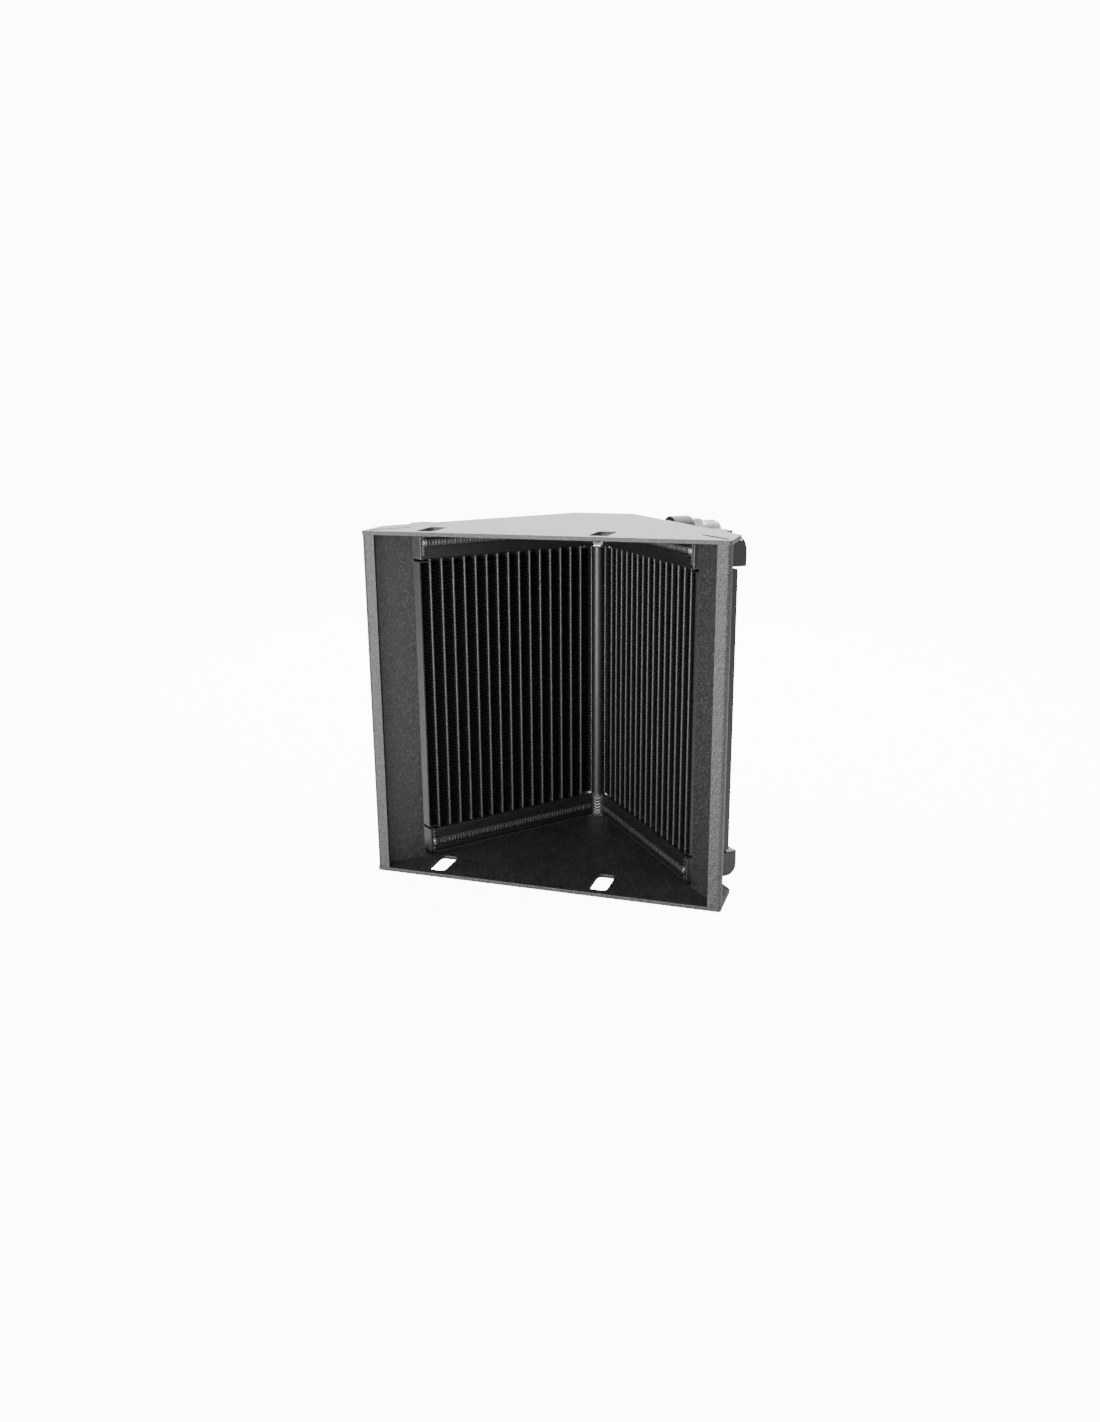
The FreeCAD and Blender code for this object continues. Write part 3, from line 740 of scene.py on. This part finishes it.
def machined_metal(colours):
    """Bright turned metal: fine rings along the axis, faint stains and softer shine in them."""
    material, wire, surface, where = new_material("Machined metal", Metallic=1.0)
    axial = wire.add("ShaderNodeAttribute", {}, attribute_name="axial").outputs["Fac"]
    rings = wire.add("ShaderNodeTexNoise", {"W": wire.maths("MULTIPLY", axial, 9.0),
                                            "Scale": 1.0, "Detail": 3.0},
                     noise_dimensions="1D").outputs["Fac"]
    stain = wire.span(wire.noise(where, 130.0, 4.0), 0.4, 0.75, 0.0, 0.5)
    tone = wire.blend(stain, colours.metal, (0.5, 0.5, 0.52, 1))
    rough = wire.maths("ADD", wire.span(rings, 0.3, 0.7, 0.14, 0.3),
                       wire.maths("MULTIPLY", stain, 0.3))
    join(wire, surface, Base_Color=tone, Roughness=rough,
         Normal=bump(wire, rings, 0.25, 0.00015))
    return material


def rubber(colours):
    """Matt rubber with fine bloom."""
    material, wire, surface, where = new_material("Rubber", Specular_IOR_Level=0.4)
    bloom = wire.noise(where, 700.0, 4.0)
    join(wire, surface, Base_Color=wire.blend(wire.span(bloom, 0.45, 0.75, 0.0, 0.4),
                                              colours.rubber, (0.08, 0.08, 0.08, 1)),
         Roughness=wire.span(bloom, 0.3, 0.7, 0.55, 0.8),
         Normal=bump(wire, bloom, 0.2, 0.0002))
    return material


def foam(colours):
    """Closed-cell foam: small round cells with painted shade in their hollows."""
    material, wire, surface, where = new_material("Foam", Specular_IOR_Level=0.25)
    cells = wire.add("ShaderNodeTexVoronoi", {"Vector": where, "Scale": 1500.0}).outputs[0]
    hollow = wire.span(cells, 0.1, 0.7)
    # painted shade: the hollows are darkened to (0.012, 0.012, 0.012)
    join(wire, surface, Base_Color=wire.blend(hollow, (0.012, 0.012, 0.012, 1), colours.foam),
         Roughness=wire.span(cells, 0.0, 0.8, 0.75, 0.95),
         Normal=bump(wire, hollow, 0.5, 0.0004))
    return material


def floor_paper(colours):
    """Pale paper floor, seen as bright as the background but lighting the object softly."""
    material, wire, surface, where = new_material("Floor paper", Roughness=0.85,
                                                  Specular_IOR_Level=0.1)
    fleck = wire.span(wire.noise(where, 6.0, 3.0), 0.3, 0.7, 0.0, 0.02)
    tone = wire.blend(fleck, colours.floor, (0.85, 0.85, 0.85, 1))
    seen = wire.add("ShaderNodeLightPath", {}).outputs["Is Camera Ray"]
    join(wire, surface, Base_Color=tone, Emission_Color=tone,
         Emission_Strength=wire.span(seen, 0.0, 1.0, 0.0, 12.0))
    return material


MATERIALS = {}


def material_for(context, name):
    """A material by name, made the first time that it is asked for."""
    if name not in MATERIALS:
        settings = Settings(context)
        colours = settings.colours
        makers = {"housing": lambda: housing_coat(colours), "core": lambda: core_coat(colours),
                  "tube": lambda: tube_coat(colours, settings.core),
                  "foil": lambda: foil_coat(colours), "weld": lambda: weld_coat(colours),
                  "metal": lambda: machined_metal(colours), "rubber": lambda: rubber(colours),
                  "foam": lambda: foam(colours), "floor": lambda: floor_paper(colours)}
        MATERIALS[name] = makers[name]()
    return MATERIALS[name]


def coat_nodes(context, names, material):
    """Gives CAD nodes a material in place of the plain one they came with."""
    for name in names:
        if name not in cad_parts:
            raise RuntimeError("there is no part named " + name)
        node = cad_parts[name]
        node.data.materials.clear()
        node.data.materials.append(material_for(context, material))


# ---------------------------------------------------------------- operators

class COOLER_OT_coat_housing(bpy.types.Operator):
    """Coat the two plates and the two side panels"""
    bl_idname = "cooler.coat_housing"
    bl_label = "Coat the housing"

    def execute(self, context):
        coat_nodes(context, ("top_plate", "bottom_plate", "left_side_panel",
                             "right_side_panel"), "housing")
        return {"FINISHED"}


class COOLER_OT_coat_tanks(bpy.types.Operator):
    """Coat the tanks, headers, end caps, apex blocks, side plates, pillar, bungs and spacers"""
    bl_idname = "cooler.coat_tanks"
    bl_label = "Coat the tanks"

    def execute(self, context):
        names = ["apex_pillar", "inlet_bung", "outlet_bung"]
        for level, _ in LEVELS:
            names += [level + "_apex_block", level + "_tab_spacers"]
            names += [f"{level}_{side}_{part}" for side, _ in SIDES
                      for part in ("header", "tank", "end_cap")]
        names += [f"{side}_{where}_side_plate" for side, _ in SIDES
                  for where in ("inner", "outer")]
        coat_nodes(context, names, "core")
        return {"FINISHED"}


class COOLER_OT_coat_tubes(bpy.types.Operator):
    """Coat the flat tubes of both cores"""
    bl_idname = "cooler.coat_tubes"
    bl_label = "Coat the tubes"

    def execute(self, context):
        coat_nodes(context, ("left_core_tubes", "right_core_tubes"), "tube")
        return {"FINISHED"}


class COOLER_OT_finish_seals(bpy.types.Operator):
    """Give the sealing rings and the foam strips their finishes"""
    bl_idname = "cooler.finish_seals"
    bl_label = "Finish the seals"

    def execute(self, context):
        coat_nodes(context, ("inlet_o_ring", "outlet_o_ring"), "rubber")
        coat_nodes(context, ("top_seal_strips", "bottom_seal_strips"), "foam")
        return {"FINISHED"}


class COOLER_OT_fold_foil(bpy.types.Operator):
    """Fold the foil strips between the tubes of both cores"""
    bl_idname = "cooler.fold_foil"
    bl_label = "Fold the foil"

    def execute(self, context):
        settings = Settings(context)
        for side, _ in SIDES:
            strips = [foil(settings.core, settings.foil, side, strip)
                      for strip in range(settings.core.tubes + 1)]
            piece = make_piece(side + "_core_foil", [skin(rows) for rows, _ in strips],
                               material_for(context, "foil"), 75.0)
            note(piece, "near", [near for _, near in strips])
            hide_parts(side + "_core_fins")
        return {"FINISHED"}


class COOLER_OT_turn_fittings(bpy.types.Operator):
    """Turn the two threaded fittings"""
    bl_idname = "cooler.turn_fittings"
    bl_label = "Turn the fittings"

    def execute(self, context):
        settings = Settings(context)
        port = settings.port
        for name, side, height in (("inlet", 1.0, port.inlet_height),
                                   ("outlet", -1.0, port.outlet_height)):
            rows, axial = fitting_rows(settings.core, port, side, height)
            piece = make_piece(name + "_adapter", [skin(rows, closed=True)],
                               material_for(context, "metal"), 28.0)
            note(piece, "axial", [axial])
            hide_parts(name + "_fitting")
        return {"FINISHED"}


def lay_beads(context, name, beads, closed=False):
    """One piece from several weld beads."""
    piece = make_piece(name, [skin(rows, closed) for rows, _ in beads],
                       material_for(context, "weld"), 60.0)
    note(piece, "crest", [crest for _, crest in beads])


class COOLER_OT_weld_seams(bpy.types.Operator):
    """Lay the long beads that join tanks and headers, front and back, with a knob at the end"""
    bl_idname = "cooler.weld_seams"
    bl_label = "Weld the seams"

    def execute(self, context):
        settings = Settings(context)
        core, weld, port = settings.core, settings.weld, settings.port
        step = weld.ripple / 8
        for level, _ in LEVELS:
            for number, (side, sign) in enumerate(SIDES):
                height, back = lift(level, core.seam), core.depth + core.back_over
                front_span = (1.5, core.arm_end + 1.6, -core.front_over, -1.0)
                breaks = [2.0, core.arm_end + 0.6]
                if (level, side) == ("bottom", "left"):
                    reach = port.bung_radius - 0.5
                    breaks[1:1] = [port.station - reach, port.station + reach]
                spans = [front_span] + [(*pair, back, 1.0)
                                        for pair in zip(breaks[::2], breaks[1::2])]
                beads = []
                for start, stop, depth, out in spans:
                    stations = np.arange(start, stop, step)
                    line = level_line(core, sign, stations, depth, height, out)
                    knobs = ((stop - start - 2.4, 1.1),) if out < 0.0 else ()
                    beads.append(bead(*line, weld.seam_width, weld.seam_rise, weld, knobs,
                                      seed=1.0 + number + len(beads)))
                lay_beads(context, f"{level}_{side}_seam_welds", beads)
        return {"FINISHED"}


class COOLER_OT_weld_caps(bpy.types.Operator):
    """Lay the beads round the end caps"""
    bl_idname = "cooler.weld_caps"
    bl_label = "Weld the end caps"

    def execute(self, context):
        settings = Settings(context)
        core, weld = settings.core, settings.weld
        outline, normal = tank_outline(core, weld.ripple / 8)
        for level, up in LEVELS:
            for number, (side, sign) in enumerate(SIDES):
                along, deep = core_ways(core, sign)
                stations = np.full(len(outline), core.arm_end - weld.cap_inset)
                centre = place(core, sign, stations, outline[:, 0], lift(level, outline[:, 1]))
                out = normal[:, :1] * deep + normal[:, 1:] * np.array([0.0, 0.0, up])
                across = np.broadcast_to(along, out.shape)
                ring = bead(centre, out, across, weld.cap_width, weld.cap_rise, weld,
                            closed=True, seed=3.0 + number)
                lay_beads(context, f"{level}_{side}_cap_weld", [ring], closed=True)
        return {"FINISHED"}


class COOLER_OT_weld_apex(bpy.types.Operator):
    """Lay the upright beads that join the two arms at the apex, front and back"""
    bl_idname = "cooler.weld_apex"
    bl_label = "Weld the apex"

    def execute(self, context):
        settings = Settings(context)
        core, weld = settings.core, settings.weld
        for level, _ in LEVELS:
            block, _ = box_mm(level + "_apex_block")
            low, high = sorted(lift(level, z) for z in (core.tank_low + 0.4,
                                                        core.header_top - 0.4))
            line = upright_line(0.0, block[1] + 0.3, low, high, (0, -1, 0), (1, 0, 0))
            knobs = ((0.5, 0.35), (high - low - 0.5, 0.35))
            beads = [bead(*line, weld.apex_width, weld.apex_rise, weld, knobs, seed=5.0)]
            for _, sign in SIDES:
                along, deep = core_ways(core, sign)
                x, y, _ = place(core, sign, 2.2, core.depth + core.back_over, 0.0) / MM
                if level == "bottom":
                    low_z, high_z = low + core.back_round - 1.0, high
                else:
                    low_z, high_z = low, high - core.back_round + 1.0
                line = upright_line(x, y, low_z, high_z, deep, along)
                beads.append(bead(*line, weld.cap_width, weld.cap_rise, weld, seed=6.0))
            lay_beads(context, level + "_apex_welds", beads)
        return {"FINISHED"}


class COOLER_OT_fill_pillar(bpy.types.Operator):
    """Lay the small fillets beside the apex pillar and at its two ends"""
    bl_idname = "cooler.fill_pillar"
    bl_label = "Fill round the pillar"

    def execute(self, context):
        settings = Settings(context)
        core, weld = settings.core, settings.weld
        low, high = box_mm("apex_pillar")
        radius = high[0]
        middle_y = low[1] + radius
        fillets = []
        for x in (-radius - 0.1, radius + 0.1):
            line = upright_line(x, middle_y - 0.5, low[2] - 0.3, high[2] + 0.3, (0, -1, 0),
                                (1, 0, 0))
            rows, crest = bead(*line, weld.fillet_width, weld.fillet_rise, weld, seed=8.0)
            fillets.append((rows, crest * 0.0))
        width, rise = weld.fillet_width * weld.end_fillet, weld.fillet_rise * weld.end_fillet
        bottom, top, side_turn = low[2] - 0.3, high[2] + 0.3, 1.13
        for z, start, stop in ((bottom, 0.0, np.pi), (top, 0.0, side_turn),
                               (top, np.pi - side_turn, np.pi)):
            turn = np.linspace(start, stop, 61)[:, None]
            out = np.concatenate([np.cos(turn), -np.sin(turn), 0 * turn], axis=1)
            centre = (np.array([0.0, middle_y, z]) + out * (radius - 0.2)) * MM
            across = np.broadcast_to((0.0, 0.0, 1.0), out.shape)
            fillets.append(bead(centre, out, across, width, rise, weld, seed=8.0))
        for _, sign in SIDES:
            line = level_line(core, sign, np.arange(-0.5, 7.0, weld.ripple / 8), -0.6,
                              high[2] + 0.1, -1.0)
            rows, crest = bead(*line, width, rise, weld, seed=8.0)
            fillets.append((rows, crest * 0.0))
        lay_beads(context, "apex_pillar_fillets", fillets)
        return {"FINISHED"}


class COOLER_OT_weld_bungs(bpy.types.Operator):
    """Lay the beads where the bungs meet the tanks"""
    bl_idname = "cooler.weld_bungs"
    bl_label = "Weld the bungs"

    def execute(self, context):
        settings = Settings(context)
        core, weld, port = settings.core, settings.weld, settings.port
        for name, level, sign, height in (("inlet", "top", 1.0, port.inlet_height),
                                          ("outlet", "bottom", -1.0, port.outlet_height)):
            arcs = [bead(*bung_arc(core, port, sign, level, height, half), weld.bung_width,
                         weld.seam_rise, weld, seed=7.0 + half) for half in (-1.0, 1.0)]
            lay_beads(context, name + "_bung_welds", arcs)
        return {"FINISHED"}


class COOLER_OT_weld_tabs(bpy.types.Operator):
    """Lay the beads under the plates' tabs"""
    bl_idname = "cooler.weld_tabs"
    bl_label = "Weld the tabs"

    def execute(self, context):
        settings = Settings(context)
        core, weld = settings.core, settings.weld
        for level, _ in LEVELS:
            beads = []
            for _, sign in SIDES:
                stop = core.arm_end - weld.tab_near
                stations = np.arange(stop - weld.tab_length, stop, weld.ripple / 8)
                depth = core.depth + core.back_over - core.back_round + 2.2
                line = level_line(core, sign, stations, depth, lift(level, weld.tab_height), 1.0)
                beads.append(bead(*line, weld.tab_width, weld.seam_rise, weld, seed=9.0))
            lay_beads(context, level + "_tab_welds", beads)
        return {"FINISHED"}


def soft_light(context, name, at, aim, size, power):
    """A rectangular lamp at a place, turned to face its aim with one edge level."""
    light = bpy.data.lights.new(name, "AREA")
    light.shape = "RECTANGLE"
    light.size, light.size_y = size
    light.energy = power
    lamp = bpy.data.objects.new(name, light)
    context.scene.collection.objects.link(lamp)
    back = np.array(at) - np.array(aim)
    back /= np.linalg.norm(back)
    right = np.cross((0.0, 0.0, 1.0), back)
    right /= np.linalg.norm(right)
    turn = np.identity(4)
    turn[:3] = np.stack([right, np.cross(back, right), back, at], axis=-1)
    lamp.matrix_world = Matrix(turn.tolist())


def camera_matrix(studio):
    """The camera looks along its turn and tilt; its right and up are rolled about that line."""
    turn, tilt, roll = studio.turn, studio.tilt, studio.roll
    ahead = np.array([-math.sin(turn) * math.cos(tilt), math.cos(turn) * math.cos(tilt),
                      -math.sin(tilt)])
    level = np.array([math.cos(turn), math.sin(turn), 0.0])
    above = np.cross(level, ahead)
    matrix = np.identity(4)
    matrix[:3, 0] = math.cos(roll) * level + math.sin(roll) * above
    matrix[:3, 1] = math.cos(roll) * above - math.sin(roll) * level
    matrix[:3, 2] = -ahead
    matrix[:3, 3] = studio.camera_x, studio.camera_y, studio.camera_z
    return Matrix(matrix.tolist())


class COOLER_OT_set_stage(bpy.types.Operator):
    """Set the floor, the soft lights, the white surroundings and the camera"""
    bl_idname = "cooler.set_stage"
    bl_label = "Set the stage"

    def execute(self, context):
        studio = context.scene.cooler_studio
        scene = context.scene
        mesh = bpy.data.meshes.new("studio_floor")
        edge = np.linspace(-6.0, 6.0, 13)
        x, y = np.meshgrid(edge, edge, indexing="ij")
        points = np.stack([x, y, np.full_like(x, -0.0002)], axis=-1).reshape(-1, 3)
        at = np.arange(len(points)).reshape(x.shape)
        quads = np.stack([at[:-1, :-1], at[1:, :-1], at[1:, 1:], at[:-1, 1:]], axis=-1)
        mesh.from_pydata(points.tolist(), [], quads.reshape(-1, 4).tolist())
        mesh.materials.append(material_for(context, "floor"))
        floor = bpy.data.objects.new("studio_floor", mesh)
        scene.collection.objects.link(floor)

        world = bpy.data.worlds.new("Studio")
        world.use_nodes = True
        wire = Wiring(world.node_tree)
        seen = wire.add("ShaderNodeLightPath", {}).outputs["Is Camera Ray"]
        sky = world.node_tree.nodes["Background"]
        sky.inputs["Color"].default_value = (1.0, 1.0, 1.0, 1.0)
        join(wire, sky.inputs, Strength=wire.span(seen, 0.0, 1.0, studio.around, studio.paper))
        scene.world = world

        soft_light(context, "overhead_light", (0.1, 0.6, 1.0), (0.0, 0.1, 0.2), (1.2, 0.8),
                   studio.overhead)
        soft_light(context, "front_light", (-0.35, -1.25, 0.12), (0.0, 0.1, 0.13), (0.5, 0.45),
                   studio.front)
        soft_light(context, "rear_light", (-0.45, 1.2, 0.75), (0.0, 0.1, 0.2), (1.2, 0.6),
                   studio.rear)

        lens = bpy.data.cameras.new("camera")
        lens.sensor_width = 36.0
        lens.lens = studio.focal
        lens.clip_start = 0.01
        camera = bpy.data.objects.new("camera", lens)
        scene.collection.objects.link(camera)
        camera.matrix_world = camera_matrix(studio)
        scene.camera = camera
        return {"FINISHED"}


class COOLER_PT_pieces(bpy.types.Panel):
    """The cooler's pieces and settings"""
    bl_label = "Twin-core cooler"
    bl_idname = "COOLER_PT_pieces"
    bl_space_type = "VIEW_3D"
    bl_region_type = "UI"
    bl_category = "Cooler"

    def draw(self, context):
        for operator in OPERATORS:
            self.layout.operator(operator.bl_idname)
        for setting in SETTINGS:
            box = self.layout.box()
            box.label(text=setting.replace("_", " ").capitalize())
            group = getattr(context.scene, setting)
            for prop in group.bl_rna.properties:
                if prop.identifier not in ("rna_type", "name"):
                    box.prop(group, prop.identifier)


SETTINGS = {"cooler_core": CoolerCoreSizes, "cooler_foil": CoolerFoilSizes,
            "cooler_weld": CoolerWeldSizes, "cooler_port": CoolerPortSizes,
            "cooler_colours": CoolerColours, "cooler_studio": CoolerStudio}
OPERATORS = (COOLER_OT_coat_housing, COOLER_OT_coat_tanks, COOLER_OT_coat_tubes,
             COOLER_OT_finish_seals, COOLER_OT_fold_foil, COOLER_OT_turn_fittings,
             COOLER_OT_weld_seams, COOLER_OT_weld_caps, COOLER_OT_weld_apex,
             COOLER_OT_fill_pillar, COOLER_OT_weld_bungs, COOLER_OT_weld_tabs,
             COOLER_OT_set_stage)


def register():
    for name, group in SETTINGS.items():
        bpy.utils.register_class(group)
        setattr(bpy.types.Scene, name, PointerProperty(type=group))
    for operator in OPERATORS:
        bpy.utils.register_class(operator)
    bpy.utils.register_class(COOLER_PT_pieces)


def unregister():
    bpy.utils.unregister_class(COOLER_PT_pieces)
    for operator in reversed(OPERATORS):
        bpy.utils.unregister_class(operator)
    for name, group in reversed(SETTINGS.items()):
        delattr(bpy.types.Scene, name)
        bpy.utils.unregister_class(group)


def main():
    register()
    for operator in OPERATORS:
        module, name = operator.bl_idname.split(".")
        getattr(getattr(bpy.ops, module), name)()


if __name__ == "__main__":
    main()
